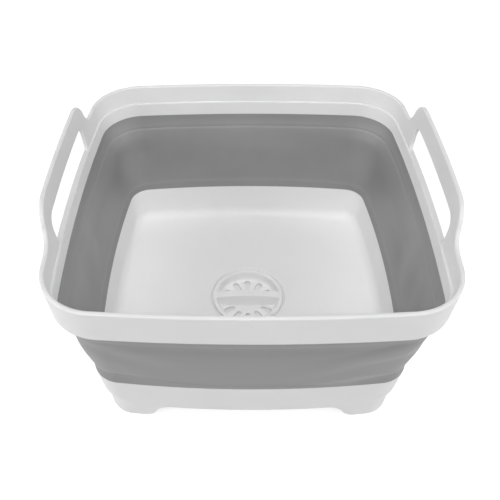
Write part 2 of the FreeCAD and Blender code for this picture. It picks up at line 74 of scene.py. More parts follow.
class BOWL_PG_wall(bpy.types.PropertyGroup):
    """Sizes of the folding wall."""

    lip_width: FloatProperty(
        name="Lip width", description="Rim from side to side at its lip",
        default=300 * MM, unit="LENGTH",
    )
    lip_depth: FloatProperty(
        name="Lip depth", description="Rim from front to back at its lip",
        default=291 * MM, unit="LENGTH",
    )
    lip_bow: FloatProperty(
        name="Lip bow", description="How far the rim's sides stand out in their middle",
        default=7.5 * MM, unit="LENGTH",
    )
    lip_corner: FloatProperty(
        name="Lip corner", description="Radius of the rim's corners at the lip",
        default=44 * MM, unit="LENGTH",
    )
    lip_height: FloatProperty(
        name="Lip height", description="From the rim's foot up to its lip",
        default=30.6 * MM, unit="LENGTH",
    )
    rim_draft: FloatProperty(
        name="Rim draft", description="How far the rim leans out",
        default=math.radians(4.6), subtype="ANGLE",
    )
    rim_overhang: FloatProperty(
        name="Rim overhang", description="How far the rim stands out over the wall",
        default=2.2 * MM, unit="LENGTH",
    )
    tray_bow: FloatProperty(
        name="Tray bow", description="How far the tray's sides stand out in their middle",
        default=9.2 * MM, unit="LENGTH",
    )
    tray_corner: FloatProperty(
        name="Tray corner", description="Radius of the tray's corners at its top edge",
        default=24 * MM, unit="LENGTH",
    )
    tray_draft: FloatProperty(
        name="Tray draft", description="How far the tray leans out",
        default=math.radians(7), subtype="ANGLE",
    )
    upper_band: FloatProperty(
        name="Upper band", description="From the rim down to the upper fold",
        default=12.5 * MM, unit="LENGTH",
    )
    lower_band: FloatProperty(
        name="Lower band", description="From the tray up to the lower fold",
        default=7.0 * MM, unit="LENGTH",
    )
    lower_thickness: FloatProperty(
        name="Lower band thickness", description="Rubber over the tray",
        default=4.2 * MM, unit="LENGTH",
    )
    panel_thickness: FloatProperty(
        name="Panel thickness", description="Rubber of the broad panel and of the upper band",
        default=2.4 * MM, unit="LENGTH",
    )
    fold_thickness: FloatProperty(
        name="Fold thickness", description="Rubber left at the bottom of each fold groove",
        default=2.1 * MM, unit="LENGTH",
    )
    fold_reach: FloatProperty(
        name="Fold reach", description="From the middle of a fold groove to its edge",
        default=1.9 * MM, unit="LENGTH",
    )
    tongue_height: FloatProperty(
        name="Tongue height", description="How far the wall's tongues reach into rim and tray",
        default=6.5 * MM, unit="LENGTH",
    )
    tongue_thickness: FloatProperty(
        name="Tongue thickness", description="Rubber of the tongues",
        default=1.2 * MM, unit="LENGTH",
    )
    tray_setback: FloatProperty(
        name="Tray tongue setback", description="From the tray's outer face in to the tongue",
        default=1.4 * MM, unit="LENGTH",
    )
    rim_setback: FloatProperty(
        name="Rim tongue setback", description="From the rim's outer face in to the tongue",
        default=2.6 * MM, unit="LENGTH",
    )
    shoulder: FloatProperty(
        name="Shoulder", description="How far the rubber stands out just under the rim",
        default=0.7 * MM, unit="LENGTH",
    )
    side_slack: FloatProperty(
        name="Side slack", description="How far the panel hangs in along its sides",
        default=2.6 * MM, unit="LENGTH",
    )
    corner_slack: FloatProperty(
        name="Corner slack", description="How far the panel hangs in at its corners",
        default=4.0 * MM, unit="LENGTH",
    )
    fold_slack: FloatProperty(
        name="Fold slack", description="How far the lower fold draws in at the corners",
        default=1.8 * MM, unit="LENGTH",
    )
    fold_rise: FloatProperty(
        name="Fold rise", description="How far the lower fold climbs beside the corners",
        default=8.0 * MM, unit="LENGTH",
    )
    fold_swell: FloatProperty(
        name="Fold swell", description="How far the lower fold stands out along the sides",
        default=0.5 * MM, unit="LENGTH",
    )
    buckle_lift: FloatProperty(
        name="Buckle lift", description="Height of the strongest soft buckle in the panel",
        default=2.0 * MM, unit="LENGTH",
    )
    crest_lift: FloatProperty(
        name="Crest lift", description="How far the lower fold swells where it is pinched most",
        default=0.9 * MM, unit="LENGTH",
    )
    crest_reach: FloatProperty(
        name="Crest reach", description="Height over the lower fold in which a crest dies out",
        default=3.0 * MM, unit="LENGTH",
    )
    lower_spread: FloatProperty(
        name="Lower spread", description="Height over the tray in which the rubber thickens",
        default=16 * MM, unit="LENGTH",
    )
    side_steps: IntProperty(
        name="Side steps", description="Faces along half of a side", default=34,
    )
    corner_steps: IntProperty(
        name="Corner steps", description="Faces round a corner", default=24,
    )


class BOWL_PG_finish(bpy.types.PropertyGroup):
    """Colours and gloss of the three materials."""

    white: FloatVectorProperty(
        name="White", description="Moulded polypropylene of rim, tray and plug",
        default=(0.885, 0.885, 0.885), subtype="COLOR",
    )
    grey: FloatVectorProperty(
        name="Grey", description="Soft rubber of the folding wall",
        default=(0.297, 0.297, 0.297), subtype="COLOR",
    )
    pale: FloatVectorProperty(
        name="Pale", description="White silicone of the stopper disc",
        default=(0.82, 0.82, 0.82), subtype="COLOR",
    )
    white_roughness: FloatProperty(
        name="White roughness", description="Satin of the white plastic",
        default=0.5, subtype="FACTOR",
    )
    grey_roughness: FloatProperty(
        name="Grey roughness", description="Matte of the folding wall",
        default=0.5, subtype="FACTOR",
    )


class BOWL_PG_stage(bpy.types.PropertyGroup):
    """Camera, lamps and floor."""

    eye: FloatVectorProperty(
        name="Eye", description="Where the camera stands",
        default=(-8.5 * MM, -394.4 * MM, 482.8 * MM), subtype="TRANSLATION",
    )
    yaw: FloatProperty(
        name="Yaw", description="Camera turned from straight ahead towards +X",
        default=-0.0101, subtype="ANGLE",
    )
    pitch: FloatProperty(
        name="Pitch", description="How far the camera looks down",
        default=0.73615, subtype="ANGLE",
    )
    roll: FloatProperty(
        name="Roll", description="Camera turned about its view line",
        default=-0.00715, subtype="ANGLE",
    )
    lens: FloatProperty(
        name="Lens", description="Focal length in millimetres for a 36 mm sensor", default=44.92,
    )
    shift: FloatVectorProperty(
        name="Shift", description="Lens shift as a share of the picture",
        default=(0.0314, -0.0698), size=2,
    )
    sky: FloatProperty(
        name="Sky", description="Strength of the even light from all sides", default=0.02,
    )
    high: FloatProperty(
        name="High", description="Power of the soft lamp high in front, in watts", default=15.3,
    )
    front: FloatProperty(
        name="Front", description="Power of the soft lamp over the camera, in watts", default=7.2,
    )
    left: FloatProperty(
        name="Left", description="Power of the soft lamp on the left, in watts", default=12.8,
    )
    right: FloatProperty(
        name="Right", description="Power of the soft lamp on the right, in watts", default=10.7,
    )
    rear: FloatProperty(
        name="Rear", description="Power of the soft lamp behind, in watts", default=7.2,
    )
    floor_reach: FloatProperty(
        name="Floor reach", description="From the middle of the floor to its edges",
        default=3.0, unit="LENGTH",
    )
    floor_bounce: FloatProperty(
        name="Floor bounce", description="Share of its light that the floor throws back on the bowl",
        default=0.7, subtype="FACTOR",
    )
    floor_lit: FloatProperty(
        name="Floor lit", description="White of the seen floor that the lamps give and a shadow takes",
        default=0.4, subtype="FACTOR",
    )
    floor_glow: FloatProperty(
        name="Floor glow", description="White of the seen floor that is the same all over",
        default=0.77, subtype="FACTOR",
    )


# Each soft lamp: where it stands and how wide it is, in metres. Its power is the setting of its name
LAMPS = {
    "high": ((0, -0.8, 1.81), 1.2),
    "front": ((0, -1.22, 1.48), 1.2),
    "left": ((-1.5, -0.4, 0.8), 1.0),
    "right": ((1.5, -0.4, 0.8), 1.0),
    "rear": ((0, 1.05, 1.75), 1.4),
}
# Width of the camera's sensor, in millimetres
SENSOR_WIDTH = 36.0


# Shader building blocks

# Sockets of a mix node that hold colours: its two inputs and its output
MIX_FIRST = 6
MIX_SECOND = 7
MIX_RESULT = 2


def add_node(tree, kind, **settings):
    """A node in a tree, with its settings and its inputs that keep one value."""
    node = tree.nodes.new(kind)
    inputs = settings.pop("inputs", {})
    for name, value in settings.items():
        setattr(node, name, value)
    for name, value in inputs.items():
        node.inputs[name].default_value = value
    return node


def new_group(name, inputs, outputs):
    """A shader node group with named value sockets, and its two end nodes."""
    group = bpy.data.node_groups.new(name, "ShaderNodeTree")
    for socket, default in inputs.items():
        made = group.interface.new_socket(name=socket, in_out="INPUT", socket_type="NodeSocketFloat")
        made.default_value = default
    for socket in outputs:
        group.interface.new_socket(name=socket, in_out="OUTPUT", socket_type="NodeSocketFloat")
    return group, add_node(group, "NodeGroupInput"), add_node(group, "NodeGroupOutput")


def object_place(tree):
    """The output that gives a point's place on the object."""
    return add_node(tree, "ShaderNodeTexCoord").outputs["Object"]


def inverse(tree, socket):
    """One over a value, to turn a size into a texture scale."""
    node = add_node(tree, "ShaderNodeMath", operation="DIVIDE", inputs={0: 1.0})
    tree.links.new(socket, node.inputs[1])
    return node.outputs[0]


def moulding_grain():
    """Fine spark-eroded grain of a mould, as a height."""
    group, enter, leave = new_group("moulding_grain", {"Grain Size": 0.4 * MM}, ["Height"])
    noise = add_node(group, "ShaderNodeTexNoise", inputs={"Detail": 3.0, "Roughness": 0.6})
    group.links.new(object_place(group), noise.inputs["Vector"])
    group.links.new(inverse(group, enter.outputs["Grain Size"]), noise.inputs["Scale"])
    group.links.new(noise.outputs["Fac"], leave.inputs["Height"])
    return group


def soft_mottle():
    """Cloudy patches where the moulding has cooled unevenly, from 0 to 1."""
    group, enter, leave = new_group("soft_mottle", {"Patch Size": 40 * MM}, ["Mask"])
    cloud = add_node(
        group, "ShaderNodeTexNoise", inputs={"Detail": 2.0, "Roughness": 0.55, "Distortion": 0.3},
    )
    group.links.new(object_place(group), cloud.inputs["Vector"])
    group.links.new(inverse(group, enter.outputs["Patch Size"]), cloud.inputs["Scale"])
    spread = add_node(group, "ShaderNodeMapRange", inputs={"From Min": 0.32, "From Max": 0.68})
    group.links.new(cloud.outputs["Fac"], spread.inputs["Value"])
    group.links.new(spread.outputs["Result"], leave.inputs["Mask"])
    return group


def hairline_scuffs():
    """Short fine rub marks in two directions, in loose patches, from 0 to 1."""
    group, enter, leave = new_group("hairline_scuffs", {"Amount": 0.5, "Mark Width": 0.5 * MM}, ["Mask"])
    scale = inverse(group, enter.outputs["Mark Width"])
    marks = []
    for turn in (0.5, 2.2):
        lay = add_node(
            group, "ShaderNodeMapping", inputs={"Rotation": (0.3, 0.2, turn), "Scale": (1.0, 0.03, 0.5)},
        )
        group.links.new(object_place(group), lay.inputs["Vector"])
        streak = add_node(group, "ShaderNodeTexNoise", inputs={"Detail": 1.0, "Roughness": 0.4})
        group.links.new(lay.outputs["Vector"], streak.inputs["Vector"])
        group.links.new(scale, streak.inputs["Scale"])
        thin = add_node(group, "ShaderNodeMapRange", inputs={"From Min": 0.7, "From Max": 0.76})
        group.links.new(streak.outputs["Fac"], thin.inputs["Value"])
        marks.append(thin.outputs["Result"])
    both = add_node(group, "ShaderNodeMath", operation="MAXIMUM")
    group.links.new(marks[0], both.inputs[0])
    group.links.new(marks[1], both.inputs[1])
    patch = add_node(group, "ShaderNodeTexNoise", inputs={"Scale": 22.0, "Detail": 1.0})
    group.links.new(object_place(group), patch.inputs["Vector"])
    loose = add_node(group, "ShaderNodeMapRange", inputs={"From Min": 0.5, "From Max": 0.65})
    group.links.new(patch.outputs["Fac"], loose.inputs["Value"])
    kept = add_node(group, "ShaderNodeMath", operation="MULTIPLY")
    group.links.new(both.outputs[0], kept.inputs[0])
    group.links.new(loose.outputs["Result"], kept.inputs[1])
    amount = add_node(group, "ShaderNodeMath", operation="MULTIPLY", use_clamp=True)
    group.links.new(kept.outputs[0], amount.inputs[0])
    group.links.new(enter.outputs["Amount"], amount.inputs[1])
    group.links.new(amount.outputs[0], leave.inputs["Mask"])
    return group


def dulled_tops():
    """Faces that look up, as a mask from 0 to 1 for painted shade that makes the white a little greyer
    there.
    """
    group, enter, leave = new_group("dulled_tops", {"Start": 0.45, "Full": 0.95}, ["Mask"])
    facing = add_node(group, "ShaderNodeSeparateXYZ")
    group.links.new(add_node(group, "ShaderNodeTexCoord").outputs["Normal"], facing.inputs[0])
    spread = add_node(group, "ShaderNodeMapRange", interpolation_type="SMOOTHSTEP")
    group.links.new(facing.outputs["Z"], spread.inputs["Value"])
    group.links.new(enter.outputs["Start"], spread.inputs["From Min"])
    group.links.new(enter.outputs["Full"], spread.inputs["From Max"])
    group.links.new(spread.outputs["Result"], leave.inputs["Mask"])
    return group


def shared_group(maker):
    """The node group that a maker builds, made once."""
    return bpy.data.node_groups.get(maker.__name__) or maker()


def place_group(tree, maker, **values):
    """A shared group placed in a material with its own values."""
    node = add_node(tree, "ShaderNodeGroup", node_tree=shared_group(maker))
    for name, value in values.items():
        node.inputs[name.replace("_", " ").title()].default_value = value
    return node


def new_material(name):
    """An empty material, its tree and its Principled shader."""
    material = bpy.data.materials.new(name)
    material.use_nodes = True
    tree = material.node_tree
    shader = next(node for node in tree.nodes if node.type == "BSDF_PRINCIPLED")
    return material, tree, shader


def shade(colour, factor):
    """A colour made darker or lighter, as a shader colour."""
    return (*(min(1.0, channel * factor) for channel in colour), 1.0)


def blend_colours(tree, mask, first, second):
    """A colour that goes from the first to the second with a mask; the first may be a socket."""
    mix = add_node(tree, "ShaderNodeMix", data_type="RGBA")
    if isinstance(first, bpy.types.NodeSocket):
        tree.links.new(first, mix.inputs[MIX_FIRST])
    else:
        mix.inputs[MIX_FIRST].default_value = first
    mix.inputs[MIX_SECOND].default_value = second
    tree.links.new(mask, mix.inputs["Factor"])
    return mix.outputs[MIX_RESULT]


def vary(tree, mask, low, high):
    """A value that goes from low to high with a mask, and on past them in step."""
    node = add_node(tree, "ShaderNodeMapRange", clamp=False, inputs={"To Min": low, "To Max": high})
    tree.links.new(mask, node.inputs["Value"])
    return node.outputs["Result"]


def scale_colour(tree, colour, factor):
    """A colour socket made darker or lighter by a value socket."""
    node = add_node(tree, "ShaderNodeVectorMath", operation="SCALE")
    tree.links.new(colour, node.inputs[0])
    tree.links.new(factor, node.inputs["Scale"])
    return node.outputs[0]


def add_share(tree, first, second, share):
    """One value plus a share of another."""
    node = add_node(tree, "ShaderNodeMath", operation="MULTIPLY_ADD", inputs={1: share})
    tree.links.new(second, node.inputs[0])
    tree.links.new(first, node.inputs[2])
    return node.outputs[0]


def add_bump(tree, shader, height, depth):
    """Relief of a given depth under a shader."""
    bump = add_node(tree, "ShaderNodeBump", inputs={"Strength": 1.0, "Distance": depth})
    tree.links.new(height, bump.inputs["Height"])
    tree.links.new(bump.outputs["Normal"], shader.inputs["Normal"])


def white_plastic(name, scuffs, lightness=1.0, painted_top_shade=1.0):
    """Satin white polypropylene with mould grain, faint mottle, rub marks, and painted shade on its
    upward faces.
    """
    finish = bpy.context.scene.bowl_finish
    white = shade(finish.white, lightness)[:3]
    material, tree, shader = new_material(name)
    grain = place_group(tree, moulding_grain, grain_size=0.45 * MM)
    mottle = place_group(tree, soft_mottle, patch_size=55 * MM)
    marks = place_group(tree, hairline_scuffs, amount=scuffs, mark_width=0.55 * MM)
    colour = blend_colours(tree, mottle.outputs["Mask"], shade(white, 0.985), shade(white, 1.01))
    colour = blend_colours(tree, marks.outputs["Mask"], colour, shade(white, 0.93))
    # Painted shade: faces that look up get a greyer white, by the top shade factor
    shaded_tops = place_group(tree, dulled_tops)
    colour = scale_colour(tree, colour, vary(tree, shaded_tops.outputs["Mask"], 1.0, painted_top_shade))
    tree.links.new(colour, shader.inputs["Base Color"])
    satin = finish.white_roughness
    rough = vary(tree, mottle.outputs["Mask"], satin - 0.03, satin + 0.03)
    rough = add_share(tree, rough, marks.outputs["Mask"], 0.2)
    tree.links.new(rough, shader.inputs["Roughness"])
    relief = add_share(tree, grain.outputs["Height"], marks.outputs["Mask"], -0.5)
    add_bump(tree, shader, relief, 0.02 * MM)
    shader.inputs["IOR"].default_value = 1.49
    shader.inputs["Specular IOR Level"].default_value = 0.3
    shader.inputs["Subsurface Weight"].default_value = 0.12
    shader.inputs["Subsurface Radius"].default_value = (1.0, 1.0, 1.0)
    shader.inputs["Subsurface Scale"].default_value = 1.5 * MM
    return material


def wall_rubber():
    """Matte grey thermoplastic rubber with scuff marks, paler along its folds, with painted light and
    painted shade from the wall's attribute.
    """
    finish = bpy.context.scene.bowl_finish
    grey = finish.grey
    material, tree, shader = new_material("wall_rubber")
    grain = place_group(tree, moulding_grain, grain_size=0.7 * MM)
    mottle = place_group(tree, soft_mottle, patch_size=30 * MM)
    marks = place_group(tree, hairline_scuffs, amount=0.35, mark_width=0.8 * MM)
    painted_and_worn = add_node(tree, "ShaderNodeAttribute", attribute_name="wear")
    colour = blend_colours(tree, mottle.outputs["Mask"], shade(grey, 0.975), shade(grey, 1.02))
    colour = blend_colours(tree, marks.outputs["Mask"], colour, shade(grey, 1.18))
    # Painted light and painted shade from the wall's attribute lighten and darken the grey
    colour = scale_colour(tree, colour, vary(tree, painted_and_worn.outputs["Fac"], 0.9, 1.06))
    tree.links.new(colour, shader.inputs["Base Color"])
    matte = finish.grey_roughness
    rough = vary(tree, mottle.outputs["Mask"], matte - 0.04, matte + 0.04)
    tree.links.new(rough, shader.inputs["Roughness"])
    add_bump(tree, shader, grain.outputs["Height"], 0.03 * MM)
    shader.inputs["IOR"].default_value = 1.48
    return material


def stopper_rubber():
    """Smooth pale silicone of the stopper disc."""
    pale = bpy.context.scene.bowl_finish.pale
    material, tree, shader = new_material("stopper_rubber")
    grain = place_group(tree, moulding_grain, grain_size=0.5 * MM)
    mottle = place_group(tree, soft_mottle, patch_size=12 * MM)
    colour = blend_colours(tree, mottle.outputs["Mask"], shade(pale, 0.96), shade(pale, 1.03))
    tree.links.new(colour, shader.inputs["Base Color"])
    tree.links.new(vary(tree, mottle.outputs["Mask"], 0.45, 0.6), shader.inputs["Roughness"])
    add_bump(tree, shader, grain.outputs["Height"], 0.02 * MM)
    return material


# Curves that the folding wall is worked out from

# Places on each side of one whose mean rounds a bend
BLUR_STEPS = 3


def bell(away, width):
    """A bell curve: 1 at its middle, dying out over its width on both sides."""
    return math.exp(-(away / width) ** 2)


def ease(value, low, high):
    """A smooth step from 0 at the low value to 1 at the high one."""
    share = min(1.0, max(0.0, (value - low) / (high - low)))
    return share * share * (3 - 2 * share)


def follow(knots, place):
    """The value at a place on straight lines through (place, value) knots."""
    for (start, first), (end, last) in zip(knots, knots[1:]):
        if place <= end:
            return first + (last - first) * (place - start) / (end - start)
    return knots[-1][1]


def follow_softly(knots, place, blur):
    """The same with its bends rounded, as a mean over the blur on both sides of the place."""
    spots = [place + blur * step / BLUR_STEPS for step in range(-BLUR_STEPS, BLUR_STEPS + 1)]
    return sum(follow(knots, spot) for spot in spots) / len(spots)


# The folding wall's shape


class Outline:
    """A rectangle with bowed sides and round corners, seen from above."""

    def __init__(self, half_x, half_y, side_radius, end_radius, corner):
        self.values = (half_x, half_y, side_radius, end_radius, corner)

    @classmethod
    def bowed(cls, half_x, half_y, bow, corner):
        """An outline whose sides stand out by the bow over their full length."""
        side_radius = (half_y ** 2 + bow ** 2) / (2 * bow)
        end_radius = (half_x ** 2 + bow ** 2) / (2 * bow)
        return cls(half_x, half_y, side_radius, end_radius, corner)

    def inset(self, distance):
        """The parallel outline that lies this far inside."""
        return Outline(*(value - distance for value in self.values))

    def towards(self, other, share):
        """The outline this share of the way to another one."""
        pairs = zip(self.values, other.values)
        return Outline(*(mine + (theirs - mine) * share for mine, theirs in pairs))

    def quarter(self, side_steps, corner_steps):
        """Points and outward directions from the middle of the +X side to the middle of the +Y end."""
        half_x, half_y, side_radius, end_radius, corner = self.values
        side = Vector((half_x - side_radius, 0))
        end = Vector((0, half_y - end_radius))
        side_reach = side_radius - corner
        line = end - side
        along = (side_reach ** 2 - (end_radius - corner) ** 2 + line.length_squared) / (2 * line.length)
        across = math.sqrt(side_reach ** 2 - along ** 2)
        line.normalize()
        centre = side + line * along + Vector((-line.y, line.x)) * across
        first = math.atan2(centre.y - side.y, centre.x - side.x)
        last = math.atan2(centre.y - end.y, centre.x - end.x)
        arcs = [
            (side, side_radius, 0, first, side_steps),
            (centre, corner, first, last, corner_steps),
            (end, end_radius, last, math.pi / 2, side_steps),
        ]
        found = []
        for middle, radius, start, stop, steps in arcs:
            for step in range(steps):
                angle = start + (stop - start) * step / steps
                out = Vector((math.cos(angle), math.sin(angle)))
                found.append((middle + out * radius, out))
        found.append((Vector((0, half_y)), Vector((0, 1))))
        return found

    def round_trip(self, side_steps, corner_steps):
        """Points and outward directions once round, from the middle of the +X side."""
        found = self.quarter(side_steps, corner_steps)
        half = found + [(Vector((-p.x, p.y)), Vector((-n.x, n.y))) for p, n in found[-2::-1]]
        return half + [(Vector((p.x, -p.y)), Vector((n.x, -n.y))) for p, n in half[-2:0:-1]]


class Buckle:
    """A soft diagonal wave pressed into the panel by folding.

    It lies a distance along the outline from the middle of the front, to the right if positive.
    Its foot stands at that distance, its head is shifted by the slant, and it is highest at its peak,
    a share of the panel's height.
    """

    def __init__(self, along, width, slant, peak, lift):
        self.along = along
        self.width = width
        self.slant = slant
        self.bend = math.log(0.5) / math.log(peak)
        self.lift = lift

    def rise(self, along, height):
        """How far the wave stands out at a distance along the outline and a share of the height."""
        away = along - self.along - self.slant * height
        return self.lift * bell(away, self.width) * math.sin(math.pi * height ** self.bend) ** 2


class Crest:
    """A swelling of the lower fold over a part of the outline, where the rubber is pinched."""

    def __init__(self, along, width, lift):
        self.along = along
        self.width = width
        self.lift = lift

    def rise(self, along):
        """How far the crest stands out at a distance along the outline."""
        return self.lift * bell(along - self.along, self.width)


class Rub:
    """A soft patch of painted highlight on the inner face, and of painted shade where its strength is
    below zero.

    Like a buckle it lies along the outline and may slant with the height, a share of the panel's.
    """

    def __init__(self, along, width, slant, height, spread, strength):
        self.along = along
        self.width = width
        self.slant = slant
        self.height = height
        self.spread = spread
        self.strength = strength

    def wear(self, along, height):
        """What the patch adds to the painted light and shade at a place."""
        over = height - self.height
        away = along - self.along - self.slant * over
        return self.strength * bell(away, self.width) * bell(over, self.spread)


# Each patch, a painted highlight above zero strength and painted shade below: place along the outline,
# width, slant, height and spread as shares of the panel, strength
PAINTED_LIGHT_PATCHES = [
    Rub(-250 * MM, 36 * MM, 0, 0.74, 0.14, 0.6),
    Rub(-190 * MM, 40 * MM, 0, 0.62, 0.16, 0.6),
    Rub(-240 * MM, 9 * MM, 0, 0.5, 0.12, 0.3),
    Rub(248 * MM, 34 * MM, 0, 0.78, 0.12, 0.6),
    Rub(213 * MM, 9 * MM, 10 * MM, 0.55, 0.2, 0.5),
    Rub(250 * MM, 28 * MM, 0, 0.27, 0.16, -0.5),
    Rub(185 * MM, 22 * MM, 0, 0.4, 0.2, -0.4),
    Rub(-342 * MM, 44 * MM, 60 * MM, 0.4, 0.6, -0.6),
    Rub(342 * MM, 44 * MM, -60 * MM, 0.4, 0.6, -0.7),
]
# Each crest: place along the outline, width, lift as a share of the strongest
CRESTS = [
    Crest(84 * MM, 28 * MM, 1.0),
    Crest(-94 * MM, 24 * MM, 0.5),
]
# Each buckle: place of its foot along the outline, width, slant to its head, peak, lift as a share
BUCKLES = [
    Buckle(14 * MM, 17 * MM, 163 * MM, 0.6, 1.0),
    Buckle(-22 * MM, 16 * MM, 163 * MM, 0.7, -0.3),
    Buckle(-18 * MM, 18 * MM, -117 * MM, 0.68, 0.5),
    Buckle(-58 * MM, 14 * MM, -90 * MM, 0.4, -0.2),
    Buckle(188 * MM, 12 * MM, 10 * MM, 0.5, 0.6),
    Buckle(210 * MM, 10 * MM, 8 * MM, 0.55, -0.8),
    Buckle(236 * MM, 11 * MM, 6 * MM, 0.45, 0.6),
    Buckle(-196 * MM, 12 * MM, -10 * MM, 0.5, 0.5),
    Buckle(-222 * MM, 9 * MM, -6 * MM, 0.6, -0.7),
    Buckle(-244 * MM, 10 * MM, -8 * MM, 0.5, 0.6),
    Buckle(-400 * MM, 14 * MM, 10 * MM, 0.5, 0.3),
    Buckle(400 * MM, 14 * MM, -10 * MM, 0.5, 0.3),
]

# The lower fold's climb on the outside, as a share of its full rise. Places run from mid-front at 0 over
# a corner at 1 to mid-side at 2, to the right if positive
FOLD_LINE = [
    (-2, 0), (-1.2, 0), (-0.98, 0.36), (-0.88, 0.8), (-0.78, 1), (-0.64, 0.86), (-0.5, 0.4), (-0.25, 0),
    (0.45, 0), (0.58, 0.3), (0.66, 0.6), (0.9, 0.6), (1, 0.3), (1.2, 0), (2, 0),
]
# How far the bends of that line and of the slack are rounded
FOLD_BLUR = 0.07
SLACK_BLUR = 0.04
# Where a corner begins and where it is full, as shares of the way from mid-side to mid-corner
CORNER_START = 0.6
CORNER_FULL = 0.92
# How much paler the outer face is painted on the strongest buckle and on the strongest crest: painted
# highlights on ridges, painted shade in hollows
BUCKLE_PAINTED_LIGHT = 0.8
CREST_PAINTED_HIGHLIGHT = 2.0
# Rows of faces: on each side of a fold, within the reach of a fold, and on the panel between the folds
FOLD_ROWS = 8
REACH_ROWS = 6
PANEL_ROWS = 30
# Edges of the rubber that bend more than this are shaded as crisp ones
CRISP_ANGLE = math.radians(50)


class WallShape:
    """The folding wall's faces, worked out from its settings and the frame."""

    def __init__(self, sizes):
        self.sizes = sizes
        self.low = TRAY_HIGH.z
        self.high = RIM_LOW.z
        self.span = self.high - self.low
        self.lower_fold = self.low + sizes.lower_band
        self.upper_fold = self.high - sizes.upper_band
        self.fold_drop = self.drop(self.lower_fold)
        self.lip_z = self.high + sizes.lip_height
        half_x = sizes.lip_width / 2
        half_y = sizes.lip_depth / 2
        self.lip = Outline.bowed(half_x, half_y, sizes.lip_bow, sizes.lip_corner)
        self.tray = Outline.bowed(TRAY_HIGH.x, TRAY_HIGH.y, sizes.tray_bow, sizes.tray_corner)

    def drop(self, z):
        """How far a height lies under the rim's foot, as a share of the wall's height."""
        return (self.high - z) / self.span

    def face(self, z):
        """The plain outer face at a height: the rim's above the wall, the tray's below it."""
        if z > self.high:
            return self.lip.inset((self.lip_z - z) * math.tan(self.sizes.rim_draft))
        if z < self.low:
            return self.tray.inset((self.low - z) * math.tan(self.sizes.tray_draft))
        foot = (self.lip_z - self.high) * math.tan(self.sizes.rim_draft) + self.sizes.rim_overhang
        return self.tray.towards(self.lip.inset(foot), (z - self.low) / self.span)

    def groove(self, z, fold):
        """How much of a fold groove's depth lies at a height, from 0 to 1, rounded at both edges."""
        away = min(1.0, abs(z - fold) / self.sizes.fold_reach)
        return 0.5 + 0.5 * math.cos(math.pi * away)

    def outer_depth(self, z):
        """How far the outer face lies under the plain face."""
        cut = self.sizes.panel_thickness - self.sizes.fold_thickness
        return cut * self.groove(z, self.lower_fold)

    def inner_depth(self, z):
        """How far the inner face lies under the plain face."""
        sizes = self.sizes
        share = max(0.0, 1 - (z - self.low) / sizes.lower_spread)
        depth = sizes.panel_thickness + (sizes.lower_thickness - sizes.panel_thickness) * share * share
        return depth - (sizes.panel_thickness - sizes.fold_thickness) * self.groove(z, self.upper_fold)

    def levels(self):
        """Heights of the rows, close together at both folds."""
        reach = self.sizes.fold_reach
        near = [reach * step / REACH_ROWS for step in range(-FOLD_ROWS, FOLD_ROWS + 1)]
        found = {self.low, self.high}
        found.update(self.lower_fold + step for step in near)
        found.update(self.upper_fold + step for step in near)
        start = self.lower_fold + near[-1]
        span = self.upper_fold + near[0] - start
        found.update(start + span * step / PANEL_ROWS for step in range(1, PANEL_ROWS))
        # The bands' own rows stay clear of those at the folds
        found.update(self.low + self.sizes.lower_band * step / 4 for step in (1, 2))
        found.update(self.high - self.sizes.upper_band * step / 6 for step in (1, 2, 3, 4))
        return sorted(found)

    def climb(self, z, share):
        """How far a row climbs where the lower fold takes a share of its full rise."""
        knots = [(self.low, 0), (self.lower_fold, 1), (self.upper_fold, 0), (self.high, 0)]
        return self.sizes.fold_rise * share * follow(knots, z)

    def outer_wear(self, z, turn):
        """How pale the outer face is painted, as painted light and as painted shade where the rim shades
        the wall: least under the upper band, most on the lower panel.

        The knots' places are shares of the way down. Towards a corner, with a turn of 1, the pale
        part starts higher and the lower band is darker.
        """
        edge = self.fold_drop - 0.03 * (1 - turn)
        start = 0.26 - 0.08 * turn
        full = 0.52 - 0.2 * turn
        band = 0.45 - 0.4 * turn
        knots = [
            (0, 1), (0.115, 1), (0.14, 0), (start, 0), (full, 0.95),
            (edge - 0.015, 1), (edge + 0.01, band), (1, band),
        ]
        return follow(knots, self.drop(z))

    def inner_wear(self, z, turn):
        """How pale the inner face is at a height: paler along both folds, darker over the lower band."""
        reach = self.sizes.fold_reach
        upper = (0.12 + 0.3 * turn) * bell(z - self.upper_fold, reach)
        lower = 0.4 * bell(z - self.lower_fold, reach)
        band = 0.25 * ease(self.lower_fold - z, 0, reach)
        return 0.5 + upper + lower - band

    def loop(self):
        """The wall's section as (height, face height, depth, whether outside), once round."""
        sizes = self.sizes
        levels = self.levels()
        up = self.high + sizes.tongue_height
        down = self.low - sizes.tongue_height
        section = [(z, z, self.outer_depth(z), True) for z in levels]
        near = sizes.rim_setback
        far = near + sizes.tongue_thickness
        tongue = [(self.high, near), (up, near), (up, far), (self.high, far)]
        section += [(z, up, depth, False) for z, depth in tongue]
        section += [(z, z, self.inner_depth(z), False) for z in reversed(levels)]
        near = sizes.tray_setback
        far = near + sizes.tongue_thickness
        tongue = [(self.low, far), (down, far), (down, near), (self.low, near)]
        section += [(z, down, depth, False) for z, depth in tongue]
        return section

    def slack(self, z, turn):
        """How far the relaxed rubber hangs in at a height, for a turn of 0 mid-side to 1 mid-corner."""
        sizes = self.sizes
        if not self.low < z < self.high:
            return 0.0
        side = [
            (0, 0), (0.065, -sizes.shoulder), (0.22, 0.6 * sizes.side_slack), (0.45, sizes.side_slack),
            (self.fold_drop, -sizes.fold_swell), (1, 0),
        ]
        corner = [
            (0, 0), (0.05, 0), (0.28, sizes.corner_slack), (0.45, 0.4 * sizes.corner_slack),
            (0.6, 0.3 * sizes.corner_slack), (self.fold_drop, sizes.fold_slack), (1, 0),
        ]
        drop = self.drop(z)
        blur = min(SLACK_BLUR, drop, 1 - drop)
        return follow_softly(side, drop, blur) * (1 - turn) + follow_softly(corner, drop, blur) * turn


